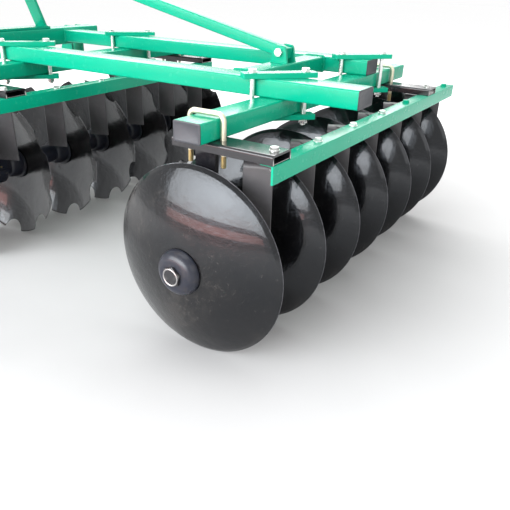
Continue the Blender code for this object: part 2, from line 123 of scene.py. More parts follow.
def ramp(t, fac, stops):
    """Colour ramp on fac; stops are (position, colour)."""
    n = t.nodes.new("ShaderNodeValToRGB")
    e = n.color_ramp.elements
    while len(e) < len(stops):
        e.new(0.5)
    for el, (p, c) in zip(e, stops):
        el.position = p
        el.color = c if len(c) == 4 else (*c, 1)
    t.links.new(fac, n.inputs["Fac"])
    return n.outputs["Color"]


def grey(v):
    return (v, v, v, 1)


def mixc(t, fac, a, b):
    n = t.nodes.new("ShaderNodeMix")
    n.data_type = "RGBA"
    for sock, val in ((n.inputs[0], fac), (n.inputs[6], a), (n.inputs[7], b)):
        if isinstance(val, bpy.types.NodeSocket):
            t.links.new(val, sock)
        else:
            sock.default_value = val if isinstance(val, float) or len(val) == 4 else (*val, 1)
    return n.outputs[2]


def mathn(t, op, a, b=0.0):
    n = t.nodes.new("ShaderNodeMath")
    n.operation = op
    for sock, val in zip(n.inputs, (a, b)):
        if isinstance(val, bpy.types.NodeSocket):
            t.links.new(val, sock)
        else:
            sock.default_value = val
    return n.outputs[0]


def bump(t, b, height, strength, dist, first=None):
    n = node(t, "ShaderNodeBump", Strength=strength, Distance=dist)
    t.links.new(height, n.inputs["Height"])
    if first:
        t.links.new(first, n.inputs["Normal"])
    t.links.new(n.outputs["Normal"], b.inputs["Normal"])
    return n.outputs["Normal"]


def edge_mask(t, low, high, breakup):
    """Worn edges: convex corners found by pointiness, broken up by noise."""
    g = t.nodes.new("ShaderNodeNewGeometry").outputs["Pointiness"]
    n = mathn(t, "MULTIPLY", mathn(t, "SUBTRACT", breakup, 0.5), 0.05)
    return ramp(t, mathn(t, "ADD", g, n), [(low, grey(0)), (high, grey(1))])


def paint(name, base, dark, light, rough, coat, chip, chip_at, dust, dirt=(0.33, 0.33, 0.30), shine=0.34):
    """Enamel of three close shades, with dust in patches and chips along its edges."""
    m, t, b = new_mat(name)
    big, mid, fine = noise(t, 3.2, 3), noise(t, 38, 6, 0.65), noise(t, 420, 3)
    col = mixc(t, ramp(t, big, [(0.3, grey(0)), (0.7, grey(1))]), dark, light)
    col = mixc(t, 0.55, col, base)
    dusty = ramp(t, mid, [(0.50, grey(0)), (0.78, grey(dust))])
    col = mixc(t, dusty, col, dirt)
    worn = edge_mask(t, chip_at[0], chip_at[1], noise(t, 120, 5, 0.7))
    col = mixc(t, worn, col, chip)
    t.links.new(col, b.inputs["Base Color"])
    r = ramp(t, mid, [(0.25, grey(rough * 0.75)), (0.8, grey(rough * 1.5))])
    t.links.new(mixc(t, worn, r, grey(0.6)), b.inputs["Roughness"])
    b.inputs["Coat Weight"].default_value = coat
    b.inputs["Coat Roughness"].default_value = 0.12
    n1 = bump(t, b, fine, 0.05, 0.0006)
    bump(t, b, noise(t, 55, 2), 0.06, 0.002, n1)
    b.inputs["Specular IOR Level"].default_value = shine
    return m


GREEN = paint("green_enamel", (0.001, 0.310, 0.184), (0.001, 0.288, 0.167), (0.002, 0.335, 0.200),
              0.22, 0.08, chip=(0.03, 0.42, 0.29), chip_at=(0.68, 0.78), dust=0.010, shine=0.16)
BLACK = paint("black_satin", (0.009, 0.009, 0.011), (0.006, 0.006, 0.008), (0.014, 0.014, 0.017),
              0.20, 0.4, chip=(0.42, 0.41, 0.40), chip_at=(0.59, 0.65), dust=0.04)
# the scrapers' black is lighter than the arms': painted sheen for the sky they mirror, with a little dust
BLADE = paint("scraper_black_painted_sheen", (0.052, 0.050, 0.053), (0.040, 0.038, 0.041), (0.070, 0.067, 0.070),
              0.42, 0.2, chip=(0.20, 0.20, 0.20), chip_at=(0.60, 0.68), dust=0.05)
HUB = paint("hub_gloss_black", (0.011, 0.013, 0.022), (0.007, 0.008, 0.013), (0.018, 0.021, 0.033),
            0.36, 0.18, chip=(0.10, 0.10, 0.10), chip_at=(0.60, 0.68), dust=0.35,
            dirt=(0.055, 0.042, 0.032))


def disc_paint(name):
    """Glossy black enamel with a little dust, grey steel at the ground edge, and faint rolling rings."""
    m, t, b = new_mat(name)
    sep = t.nodes.new("ShaderNodeSeparateXYZ")
    t.links.new(coords(t), sep.inputs[0])
    rad = mathn(t, "SQRT", mathn(t, "ADD", mathn(t, "MULTIPLY", sep.outputs[1], sep.outputs[1]),
                                 mathn(t, "MULTIPLY", sep.outputs[2], sep.outputs[2])))
    cloud, mid, fine = noise(t, 5.5, 5, 0.6), noise(t, 85, 8, 0.78), noise(t, 520, 2)
    patches = ramp(t, cloud, [(0.35, grey(0)), (0.72, grey(1))])
    col = mixc(t, patches, (0.0030, 0.0032, 0.0038), (0.0080, 0.0075, 0.0075))
    dusty = ramp(t, mathn(t, "MULTIPLY", mid, cloud), [(0.27, grey(0)), (0.40, grey(0.34))])
    specks = ramp(t, mathn(t, "MULTIPLY", fine, mid), [(0.38, grey(0)), (0.45, grey(0.5))])
    col = mixc(t, dusty, col, (0.050, 0.045, 0.040))
    col = mixc(t, specks, col, (0.22, 0.20, 0.18))
    edge_in = mathn(t, "ADD", rad, mathn(t, "MULTIPLY", mathn(t, "SUBTRACT", mid, 0.5), 0.004))
    spread = 3.0        # brings the rim's radius near the top of the ramp
    rim = ramp(t, mathn(t, "MULTIPLY", edge_in, spread),
               [((DISC_R - 0.0012) * spread, grey(0)), ((DISC_R - 0.0001) * spread, grey(1))])
    col = mixc(t, rim, col, (0.10, 0.10, 0.11))
    t.links.new(col, b.inputs["Base Color"])
    t.links.new(mixc(t, rim, grey(0), grey(0.8)), b.inputs["Metallic"])
    rr = ramp(t, mid, [(0.35, grey(0.05)), (0.66, grey(0.14))])
    rr = mixc(t, dusty, rr, grey(0.42))
    t.links.new(mixc(t, rim, rr, grey(0.34)), b.inputs["Roughness"])
    b.inputs["Specular IOR Level"].default_value = 0.25
    b.inputs["Coat Weight"].default_value = 0.36
    b.inputs["Coat Roughness"].default_value = 0.04
    b.inputs["Specular Tint"].default_value = (0.86, 0.92, 1.0, 1.0)
    wave = mathn(t, "SINE", mathn(t, "MULTIPLY", rad, 820.0))
    n1 = bump(t, b, wave, 0.02, 0.0004)
    n2 = bump(t, b, noise(t, 30, 7, 0.78), 0.34, 0.0026, n1)
    bump(t, b, noise(t, 8, 4, 0.6), 0.50, 0.008, n2)
    return m


DISC_PLAIN = disc_paint("disc_enamel_plain")
DISC_NOTCH = disc_paint("disc_enamel_notched")


def metal(name, base, tint, rough, metallic):
    """Plated or bare metal in two shades, brighter on its worn edges."""
    m, t, b = new_mat(name)
    mid, fine = noise(t, 45, 5, 0.65), noise(t, 260, 3)
    col = mixc(t, ramp(t, mid, [(0.3, grey(0)), (0.75, grey(1))]), base, tint)
    worn = edge_mask(t, 0.60, 0.70, noise(t, 150, 4))
    t.links.new(mixc(t, worn, col, (0.85, 0.84, 0.80)), b.inputs["Base Color"])
    t.links.new(ramp(t, mid, [(0.25, grey(rough * 0.7)), (0.85, grey(rough * 1.6))]), b.inputs["Roughness"])
    b.inputs["Metallic"].default_value = metallic
    bump(t, b, fine, 0.10, 0.0004)
    return m


ZINC = metal("zinc_bright", (0.66, 0.67, 0.66), (0.80, 0.80, 0.78), 0.28, 0.9)
YELLOW = metal("yellow_zinc", (0.62, 0.57, 0.41), (0.74, 0.70, 0.57), 0.36, 0.75)
BRASSY = metal("passivated_thread", (0.42, 0.33, 0.17), (0.56, 0.46, 0.27), 0.36, 0.9)
WORN = paint("worn_nut_black", (0.012, 0.012, 0.014), (0.008, 0.008, 0.010), (0.03, 0.03, 0.032),
             0.34, 0.2, chip=(0.40, 0.40, 0.40), chip_at=(0.66, 0.74), dust=0.15)
BARE_STEEL = metal("bare_steel", (0.30, 0.30, 0.30), (0.42, 0.41, 0.40), 0.36, 0.95)


def plug_plastic():
    """Dull dark grey plastic of the tube end plugs."""
    m, t, b = new_mat("cap_plastic")
    mid, fine = noise(t, 70, 5), noise(t, 900, 2)
    t.links.new(mixc(t, mid, (0.023, 0.025, 0.031), (0.037, 0.040, 0.048)), b.inputs["Base Color"])
    t.links.new(ramp(t, mid, [(0.3, grey(0.42)), (0.8, grey(0.6))]), b.inputs["Roughness"])
    bump(t, b, fine, 0.15, 0.0004)
    return m


CAP = plug_plastic()


# ------------------------------------------------------------------ mesh making
class Shape:
    """A mesh under construction; mat is the slot that new faces get."""

    def __init__(self):
        self.bm, self.mat = bmesh.new(), 0

    def done(self):
        """Give the faces made since the last call the current material slot."""
        for f in self.bm.faces:
            if not f.tag:
                f.material_index, f.tag = self.mat, True

    def slot(self, i):
        self.done()
        self.mat = i

    def loops(self, rings, cap=True):
        """Skin a list of closed rings with as many points each."""
        v = [[self.bm.verts.new(p) for p in r] for r in rings]
        n = len(v[0])
        for a, b in zip(v, v[1:]):
            for i in range(n):
                j = (i + 1) % n
                self.bm.faces.new((a[i], a[j], b[j], b[i]))
        if cap:
            self.bm.faces.new(v[0][::-1])
            self.bm.faces.new(v[-1])
        return v

    def prism(self, outline, lo, hi, axis="X"):
        """Outline in the two other axes, in their order, drawn out along axis."""
        put = {"X": lambda a, b, w: (w, a, b),
               "Y": lambda a, b, w: (a, w, b),
               "Z": lambda a, b, w: (a, b, w)}[axis]
        self.loops([[Vector(put(a, b, w)) for a, b in outline] for w in (lo, hi)])

    def turned(self, profile, steps, m=None, closed=False):
        """Profile of (radius, along) turned about local X; ends on the axis are capped to a point."""
        m = m or Matrix.Identity(4)
        around = [(cos(2 * pi * k / steps), sin(2 * pi * k / steps)) for k in range(steps)]
        rows = []
        for r, u in profile:
            spots = [(0, 0)] if r < 1e-7 else [(r * c, r * q) for c, q in around]
            rows.append([self.bm.verts.new(m @ Vector((u, y, z))) for y, z in spots])
        pairs = list(zip(rows, rows[1:]))
        if closed:
            pairs.append((rows[-1], rows[0]))
        for a, b in pairs:
            for k in range(steps):
                q = (k + 1) % steps
                if len(a) == 1 and len(b) == 1:
                    continue
                if len(a) == 1:
                    self.bm.faces.new((a[0], b[q], b[k]))
                elif len(b) == 1:
                    self.bm.faces.new((a[k], a[q], b[0]))
                else:
                    self.bm.faces.new((a[k], a[q], b[q], b[k]))

    def rod(self, path, r, n=12, radii=None):
        """Round bar along a path; radii gives a radius at each point."""
        pts = [Vector(p) for p in path]
        t0 = (pts[1] - pts[0]).normalized()
        side = t0.orthogonal().normalized()
        rings = []
        for i, p in enumerate(pts):
            t = (pts[min(i + 1, len(pts) - 1)] - pts[max(i - 1, 0)]).normalized()
            side = (side - t * side.dot(t)).normalized()
            up = t.cross(side)
            q = radii[i] if radii else r
            turns = [2 * pi * k / n for k in range(n)]
            rings.append([p + (side * cos(a) + up * sin(a)) * q for a in turns])
        self.loops(rings)


def frame_to(p, direction):
    """Matrix whose local X runs along direction, at point p."""
    d = Vector(direction).normalized()
    q = Vector((1, 0, 0)).rotation_difference(d)
    return Matrix.Translation(Vector(p)) @ q.to_matrix().to_4x4()


def hexhead(s, p, d, af, h, turn=0.0):
    """Chamfered hexagon, af across its flats, seated at p and standing up along d."""
    m = frame_to(p, d)
    n, r0 = 36, af / 2
    out = []
    for k in range(n):
        a = 2 * pi * k / n
        b = (a + pi / 6) % (pi / 3) - pi / 6
        out.append((a + turn, r0 / cos(b)))

    def ring(f, z):
        return [m @ Vector((z(r), f(r) * cos(a), f(r) * sin(a))) for a, r in out]

    def chamfer(r):
        return h - max(0.0, r - r0 * 0.97) * 0.55

    s.loops([ring(lambda r: r * 0.985, lambda r: 0.0), ring(lambda r: r, lambda r: 0.0004),
             ring(lambda r: r, chamfer), ring(lambda r: min(r, r0 * 0.97), lambda r: h),
             ring(lambda r: r0 * 0.5, lambda r: h)])


def washer(s, p, d, r, t=0.0025):
    """Washer of radius r and thickness t, seated at p and standing up along d."""
    m = frame_to(p, d)
    s.turned([(0, 0), (r - 0.0004, 0), (r, 0.0004), (r, t - 0.0004), (r - 0.0004, t), (0, t)], 32, m)


def thread(s, p, d, r, length, pitch=0.002, steps=20):
    """Threaded bar end from p along d, with a chamfered tip."""
    n = max(2, int(length / pitch))
    prof = [(0, 0)]
    for i in range(n):
        prof += [(r * 0.90, i * pitch), (r, (i + 0.35) * pitch), (r, (i + 0.6) * pitch)]
    prof += [(r * 0.86, n * pitch), (r * 0.72, n * pitch + 0.0012), (0, n * pitch + 0.0012)]
    s.turned(prof, steps, frame_to(p, d))


def rounded(w, h, r, cx=0.0, cy=0.0, n=5):
    """Outline of a rectangle with round corners."""
    pts = []
    for sx, sy, a0 in ((1, 1, 0), (-1, 1, pi / 2), (-1, -1, pi), (1, -1, 3 * pi / 2)):
        for i in range(n + 1):
            a = a0 + pi / 2 * i / n
            pts.append((cx + sx * (w / 2 - r) + r * cos(a), cy + sy * (h / 2 - r) + r * sin(a)))
    return pts


def fillet(pts, rad, n=4):
    """Round every corner of a closed outline; rad is one number or one per corner."""
    out, m = [], len(pts)
    for i in range(m):
        r = rad[i] if isinstance(rad, (list, tuple)) else rad
        p, a, b = Vector(pts[i]), Vector(pts[i - 1]), Vector(pts[(i + 1) % m])
        u, v = (a - p), (b - p)
        if r <= 0 or u.length < 1e-9 or v.length < 1e-9:
            out.append(tuple(p))
            continue
        ang = u.angle(v)
        cut = min(r / max(0.05, abs(sin(ang / 2) / cos(ang / 2))), u.length * 0.49, v.length * 0.49)
        s0, s1 = p + u.normalized() * cut, p + v.normalized() * cut
        for k in range(n + 1):
            f = k / n
            out.append(tuple(s0 * (1 - f) ** 2 + p * 2 * f * (1 - f) + s1 * f * f))
    return out


def weld(s, path, r=0.0042, step=0.0016):
    """A ripple-backed weld bead along a polyline."""
    pts, rad, run = [], [], 0.0
    p = [Vector(q) for q in path]
    for a, b in zip(p, p[1:]):
        n = max(1, int(ceil((b - a).length / step)))
        for i in range(n):
            pts.append(a + (b - a) * i / n)
            rad.append(r * (1 + 0.16 * sin((run + (b - a).length * i / n) * 2 * pi / 0.0062)
                            + 0.08 * sin((run + i * step) * 2 * pi / 0.023)))
        run += (b - a).length
    pts.append(p[-1])
    rad.append(r * 0.7)
    rad[0] = r * 0.6
    s.rod(pts, r, 8, rad)


def piece(name, s, mats, body, m, stands_for=(), bevel=0.0, angle=38, share=None):
    """Make an object of a Shape, or of the mesh to share, at m, riding on body in place of CAD nodes."""
    if share is None:
        s.done()
        bmesh.ops.recalc_face_normals(s.bm, faces=s.bm.faces)
        me = bpy.data.meshes.new(name)
        s.bm.to_mesh(me)
        s.bm.free()
        for mat in mats:
            me.materials.append(mat)
        me.polygons.foreach_set("use_smooth", [True] * len(me.polygons))
        me.set_sharp_from_angle(angle=radians(angle))
    else:
        me = share
    ob = bpy.data.objects.new(name, me)
    bpy.context.scene.collection.objects.link(ob)
    ob.matrix_world = m
    if bevel:
        mod = ob.modifiers.new("edges", "BEVEL")
        mod.width, mod.segments = bevel, 2
        mod.limit_method, mod.angle_limit = "ANGLE", radians(angle)
        mod.miter_outer = "MITER_ARC"
        wn = ob.modifiers.new("normals", "WEIGHTED_NORMAL")
        wn.keep_sharp = True
    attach(ob, body)
    if stands_for:
        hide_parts(*stands_for)
    return ob


# ------------------------------------------------------------------ discs
SOFT = 0.014                        # half width of the bend round the flat middle
OPEN_R = 0.220                      # the rings beyond this radius follow the notches
RING_RADII = [BORE, 0.035, 0.050, 0.056, 0.061, 0.066, 0.071, 0.078,
              0.090, 0.110, 0.130, 0.150, 0.170, 0.190, 0.205, OPEN_R]
NOTCH_TURNS = (12, -19, -2, -9, 14, -17, 6)     # degrees that each front disc is turned


def sag(r):
    """Rim plane to the hollow face, at radius r."""
    raw = DISH - (DISH_R - sqrt(DISH_R ** 2 - r * r))
    if r < DISC_FLAT - SOFT:
        return DEPTH
    if r < DISC_FLAT + SOFT:
        f = (r - DISC_FLAT + SOFT) / (2 * SOFT)
        return DEPTH * (1 - f * f) + raw * f * f
    return raw


def disc_shape(notched, sign):
    """Dished disc about local X, rim plane at 0, hollow face towards sign * X."""
    s = Shape()
    step, tip = 360 / TEETH, 90 / TEETH         # degrees from tooth to tooth, and to a tooth's corner
    if notched:
        spots = [-tip, 0.6 - tip, -tip / 2, 0, tip / 2, tip - 0.6, tip]
        spots += [step / 2 - tip * cos(pi * i / 14) for i in range(1, 14)]
    else:
        spots = [i * step / 18 for i in range(18)]
    angles = [(-90 + k * step + d, d) for k in range(TEETH) for d in spots]

    def outer(d):
        """Rim radius at d degrees from the middle of a tooth."""
        if not notched or abs(d) < tip:
            return DISC_R
        if abs(d) == tip:
            return DISC_R * (1 - 0.0035)
        t = (d - step / 2) / tip
        return DISC_R - NOTCH * (1 - abs(t) ** 2.3) ** 0.62

    rows = []

    def row(fr, back):
        """Add a ring; fr gives its radius from the rim's, and back its depth behind the hollow face."""
        pts = []
        for a, d in angles:
            r = fr(outer(d))
            x, y, z = -sign * (sag(min(r, DISC_R)) + back), r * cos(radians(a)), r * sin(radians(a))
            pts.append(Vector((x, y, z)))
        rows.append(pts)

    def spread(f):
        return lambda ro: OPEN_R + (ro - OPEN_R) * f

    for r in RING_RADII:
        row(lambda ro, r=r: r, 0.0)
    for f in (0.3, 0.6, 0.85):
        row(spread(f), 0.0)
    row(lambda ro: ro - 0.0012, 0.0)
    row(lambda ro: ro, 0.0006)
    row(lambda ro: ro - 0.0004, 0.0015)
    row(lambda ro: ro - 0.0095, DISC_T - 0.0003)
    row(lambda ro: ro - 0.0115, DISC_T)
    for f in (0.5, 0.25):
        row(spread(f), DISC_T)
    for r in RING_RADII[::-1]:
        row(lambda ro, r=r: r, DISC_T)
    v = s.loops(rows, cap=False)
    n = len(angles)
    for i in range(n):
        j = (i + 1) % n
        s.bm.faces.new((v[-1][i], v[-1][j], v[0][j], v[0][i]))
    return s


def disc_set(side):
    """The discs of a gang; plain ones share a mesh, and every notched one has its own turn."""
    sign, notched = SIGN[side], side == "front"
    mesh = None
    for k in range(DISCS):
        place = GANG[side] @ Matrix.Translation((k * PITCH, 0, AXLE_Z))
        shape = None
        if mesh is None or notched:
            shape = disc_shape(notched, sign)
        if notched:
            turn = Matrix.Rotation(radians(NOTCH_TURNS[k]), 3, "X")
            bmesh.ops.rotate(shape.bm, verts=shape.bm.verts, matrix=turn)
        ob = piece("disc_%s_%d" % (side, k + 1), shape, [DISC_NOTCH if notched else DISC_PLAIN],
                   side + "_gang", place, ["%s_disc_%d" % (side, k + 1)],
                   angle=28, share=None if shape else mesh)
        mesh = ob.data


for side in ("rear", "front"):
    disc_set(side)


# ------------------------------------------------------------------ gang shafts
def gang_axle(side):
    """Spools, end bell and nuts of a gang, all in one piece."""
    s = Shape()
    base = GANG[side] @ Matrix.Translation((0, 0, AXLE_Z))
    flip = Matrix.Identity(4)
    if SIGN[side] < 0:
        flip = Matrix.Translation((GANG_L, 0, 0)) @ Matrix.Rotation(pi, 4, "Z")
    hollow, back = -DEPTH, -DEPTH - DISC_T
    # end bell, washer and nut on the bulged side of the first disc
    b0, bell_r = back - 0.0002, FLANGE_R + 0.0045
    bell = [(0, b0), (bell_r - 0.0015, b0), (bell_r, b0 - 0.0018), (bell_r, b0 - 0.006)]
    for i in range(1, 13):
        a = i / 12 * pi / 2
        bell.append((0.0330 + (FLANGE_R - 0.0295) * cos(a), b0 - 0.0060 - 0.0265 * sin(a)))
    bell += [(0.0310, b0 - 0.0330), (0, b0 - 0.0330)]
    s.turned(bell, 80, flip)
    out = flip.to_3x3() @ Vector((-1, 0, 0))
    s.slot(2)
    hexhead(s, flip @ Vector((b0 - 0.0325, 0, 0)), out, 0.0520, 0.0100, 0.35)
    s.slot(1)
    s.turned([(0.0205, -0.0006), (0.0254, -0.0006), (0.0250, 0.0010), (0.0232, 0.0017), (0.0212, 0.0009)],
             40, frame_to(flip @ Vector((b0 - 0.0424, 0, 0)), out), closed=True)
    # a domed flange on the hollow side of every disc, then the spool to the flange of the next disc
    s.slot(0)
    tube_r, dome_r = SPOOL_R - 0.002, FLANGE_R - 0.008
    for k in range(DISCS):
        u = k * PITCH + hollow + 0.0002
        dome = [(0, u), (FLANGE_R - 0.001, u), (FLANGE_R + 0.001, u + 0.002), (FLANGE_R + 0.001, u + 0.0075),
                (FLANGE_R - 0.001, u + 0.0095), (FLANGE_R - 0.006, u + 0.0100), (dome_r, u + 0.0110)]
        for i in range(1, 13):
            a = i / 12 * pi / 2
            dome.append((tube_r + (dome_r - tube_r) * cos(a) ** 0.85, u + 0.0115 + 0.0475 * sin(a)))
        if k < DISCS - 1:
            w = k * PITCH + PITCH + back - 0.0002
            tail = [(tube_r, w - 0.019), (SPOOL_R + 0.0015, w - 0.016), (SPOOL_R + 0.009, w - 0.012),
                    (SPOOL_R + 0.012, w - 0.010), (SPOOL_R + 0.012, w - 0.001), (SPOOL_R + 0.011, w), (0, w)]
        else:
            tail = [(0.030, u + 0.0590), (0, u + 0.0590)]
        s.turned(dome + tail, 56, flip)
    s.slot(1)
    end = GANG_L + hollow + 0.0590
    hexhead(s, flip @ Vector((end, 0, 0)), -out, 0.036, 0.012, 0.1)
    thread(s, flip @ Vector((end + 0.011, 0, 0)), -out, 0.0110, 0.0060)
    piece("axle_" + side, s, [HUB, BARE_STEEL, WORN], side + "_gang", base,
          [side + "_gang_axle"], angle=32)


for side in ("rear", "front"):
    gang_axle(side)


# ------------------------------------------------------------------ tubes with end plugs
def box_tube(s, axis, lo, hi, w, h, ca, cz, r=0.0055, plugs=(True, True)):
    """Rectangular tube along X or Y; plugs close the ends in slot 1."""
    cut = 0.0032        # thickness of a plug's rim
    a = lo + (cut if plugs[0] else 0)
    b = hi - (cut if plugs[1] else 0)
    s.prism(rounded(w, h, r, ca, cz), a, b, axis)
    s.slot(1)
    for on, out, inn in ((plugs[0], lo, a), (plugs[1], hi, b)):
        if not on:
            continue
        deep = out - inn
        rings = []
        for q, i in ((inn, 0.0006), (inn + deep * 0.2, 0.0003), (inn + deep * 0.75, 0.0003),
                     (out, 0.0015), (out, 0.0060), (out - deep * 0.25, 0.0072)):
            ring = rounded(w - 2 * i, h - 2 * i, max(0.002, r - i), ca, cz)
            rings.append([Vector((q, p, z) if axis == "X" else (p, q, z)) for p, z in ring])
        s.loops(rings)
    s.slot(0)


for side in ("rear", "front"):
    s = Shape()
    box_tube(s, "X", -BEAM_OVER, GANG_L + BEAM_OVER, BEAM_W, BEAM_H, BEAM_Y, (BEAM_LOW + BEAM_TOP) / 2)
    piece("beam_" + side, s, [GREEN, CAP], "frame", GANG[side], [side + "_gang_beam"])

for word, x, back in zip(("left", "right"), TUBE_X, TUBE_REAR):
    s = Shape()
    box_tube(s, "Y", back, TUBE_FRONT, TUBE_W, TUBE_H, x, (TUBE_LOW + TUBE_TOP) / 2, plugs=(True, False))
    piece("tube_" + word, s, [GREEN, CAP], "frame", ROOT, ["main_tube_" + word])

# rear cross member with its weld beads and the lug for the mast stay
s = Shape()
x0, x1 = TUBE_X[0] + TUBE_W / 2, TUBE_X[1] - TUBE_W / 2
yc, zc = CROSS_Y + CROSS_W / 2, (TUBE_LOW + TUBE_TOP) / 2
s.prism(rounded(CROSS_W, TUBE_H, 0.0065, yc, zc), x0 + GAP, x1 - GAP, "X")
for x, d in ((x0, 1), (x1, -1)):
    loop = rounded(CROSS_W + 0.002, TUBE_H + 0.002, 0.0075, yc, zc, 4)
    weld(s, [(x + d * 0.0026, a, b) for a, b in loop + loop[:1]], 0.0042)
foot = Vector((HITCH_X, yc, TUBE_TOP + 0.036))
for side in (-1, 1):
    a, b = sorted((foot.x + side * 0.0230, foot.x + side * 0.033))
    out = fillet([(foot.y - 0.034, TUBE_TOP - 0.004), (foot.y + 0.034, TUBE_TOP - 0.004),
                  (foot.y + 0.024, foot.z + 0.024), (foot.y - 0.024, foot.z + 0.024)], [0, 0, 0.02, 0.02], 6)
    s.prism(out, a, b, "X")
    xs = b if side > 0 else a
    weld(s, [(xs, foot.y - 0.034, TUBE_TOP + 0.001), (xs, foot.y + 0.034, TUBE_TOP + 0.001)], 0.0035)
s.slot(1)
s.rod([(foot.x - 0.034, foot.y, foot.z), (foot.x + 0.036, foot.y, foot.z)], STAY_PIN_R, 24)
hexhead(s, (foot.x - 0.033, foot.y, foot.z), (-1, 0, 0), 0.027, 0.011)
washer(s, (foot.x + 0.033, foot.y, foot.z), (1, 0, 0), 0.016)
hexhead(s, (foot.x + 0.0355, foot.y, foot.z), (1, 0, 0), 0.026, 0.010, 0.4)
piece("cross_member", s, [GREEN, ZINC], "frame", ROOT, ["rear_cross_member"], bevel=0.0008)


# ------------------------------------------------------------------ scraper bars, scrapers
def scraper_bar(side):
    """Angle bar behind a gang, with a bolt for every scraper."""
    y, z = -BAR_BACK, BAR_TOP
    short, lap = 0.014, 0.002       # the level leg stops short of the bar's end at an arm
    if side == "rear":
        lo, hi = SPOTS[side][0] - ARM_W / 2, GANG_L + BAR_OVER
        full, upright = (lo + short, hi), (lo, lo + short + lap)
    else:
        lo, hi = -BAR_OVER, SPOTS[side][1] + ARM_W / 2
        full, upright = (lo, hi - short), (hi - short - lap, hi)
    out = fillet([(y, z), (y + BAR_LEG, z), (y + BAR_LEG, z - BAR_T),
                  (y + BAR_T, z - BAR_T), (y + BAR_T, z - BAR_LEG), (y, z - BAR_LEG)],
                 [0.0022, 0.0012, 0.0028, 0.006, 0.0028, 0.0012], 4)
    s = Shape()
    s.prism(out, *full, "X")
    up = fillet([(y, z), (y + BAR_T, z), (y + BAR_T, z - BAR_LEG), (y, z - BAR_LEG)], 0.0016, 3)
    s.prism(up, *upright, "X")
    piece("bar_" + side, s, [GREEN], "frame", GANG[side], [side + "_scraper_bar"])
    # one bolt a scraper; those through the arm ends stand on the arm, and some were painted green
    s = Shape()
    for k in range(DISCS):
        u = k * PITCH + SIGN[side] * BOLT_X
        on_arm = any(abs(u - x) < ARM_W / 2 for x in SPOTS[side])
        top = ARM_TOP if on_arm else BAR_TOP
        s.slot(1 if on_arm or k in (1, 2, 3, 5) else 0)
        y0 = -BAR_BACK + BOLT_Y
        washer(s, (u, y0, top), (0, 0, 1), 0.0135, 0.0022)
        hexhead(s, (u, y0, top + 0.0022), (0, 0, 1), 0.0205, 0.0080, 0.25 * k)
        s.slot(1)
        washer(s, (u, y0, BAR_TOP - BAR_T - 0.0002), (0, 0, -1), 0.0120, 0.0047)
        under = BAR_TOP - BAR_T - 0.0112
        hexhead(s, (u, y0, under), (0, 0, -1), 0.0190, 0.0095, 0.15 * k)
        thread(s, (u, y0, under - 0.008), (0, 0, -1), 0.0060, 0.010, 0.0016, 14)
    piece("bar_bolts_" + side, s, [GREEN, ZINC], "frame", GANG[side])


def scraper_shape(sign):
    """Flat blade bent over at the top; origin under the bar, at the blade's middle."""
    s = Shape()
    w, t = BLADE_W / 2, BLADE_T / 2
    top, low = -BAR_T - 0.0050, BLADE_LOW[sign] - BAR_TOP
    yaw = Matrix.Rotation(BLADE_TURN, 4, "Z")
    bend, edge = 0.016, 0.0012
    line = [(sign * 0.036, top - t), (sign * (bend + 0.004), top - t)]
    for i in range(1, 7):
        a = i / 6 * pi / 2
        line.append((sign * (bend - bend * sin(a)), top - t - (bend - bend * cos(a))))
    line += [(0.0, -0.08), (0.0, -0.16), (0.0, low + 0.002)]
    section = [(-w + edge, -t), (-w, -t + edge), (-w, t - edge), (-w + edge, t),
               (w - edge, t), (w, t - edge), (w, -t + edge), (w - edge, -t)]
    rings = []
    for i, (x, z) in enumerate(line):
        a, b = line[max(0, i - 1)], line[min(len(line) - 1, i + 1)]
        d = Vector((b[0] - a[0], 0, b[1] - a[1])).normalized()
        face = Vector((d.z, 0, -d.x))
        rings.append([yaw @ (Vector((x, p, z)) + face * q) for p, q in section])
    s.loops(rings)
    # foot pad reaching back to the bolt
    pad = [(-0.022, -0.061), (0.036, -0.061), (0.036, 0.020), (0.006, 0.020)]
    pad = fillet([(sign * a, b) for a, b in pad], [0.008, 0.008, 0.008, 0.003])
    s.prism(pad, top - BLADE_T, top - 0.0001, "Z")
    return s


for side in ("rear", "front"):
    scraper_bar(side)
    mesh = None
    for k in range(DISCS):
        place = GANG[side] @ Matrix.Translation((k * PITCH + BLADE_X[side], BLADE_Y, BAR_TOP))
        shape = scraper_shape(SIGN[side]) if mesh is None else None
        ob = piece("scraper_%s_%d" % (side, k + 1), shape, [BLADE], "frame", place,
                   ["%s_scraper_%d" % (side, k + 1)], share=mesh)
        mesh = ob.data


# ------------------------------------------------------------------ arms, U-bolts, hangers
def arm(side, word, x):
    """Channel with its open side down; a black strip of painted shade keeps daylight out of its rear end."""
    w, h, t = ARM_W / 2, ARM_H, ARM_T
    z = BAR_TOP + GAP
    out = fillet([(x - w, z), (x - w, z + h), (x + w, z + h), (x + w, z),
                  (x + w - t, z), (x + w - t, z + h - t), (x - w + t, z + h - t), (x - w + t, z)],
                 [0.001, 0.0085, 0.0085, 0.001, 0.001, 0.003, 0.003, 0.001], 6)
    s = Shape()
    s.prism(out, ARM_REAR, ARM_FRONT, "Y")
    # painted shade: a black sheet in the channel's rear end, where there is only shade
    shade_strip = rounded(ARM_W - 2 * t - 0.001, 0.003, 0.0008, x, z + 0.0025)
    s.prism(shade_strip, ARM_REAR + 0.0015, -0.050, "Y")
    piece("arm_%s_%s" % (side, word), s, [BLACK], "frame", GANG[side],
          ["%s_arm_%s" % (side, word)], bevel=0.0009)


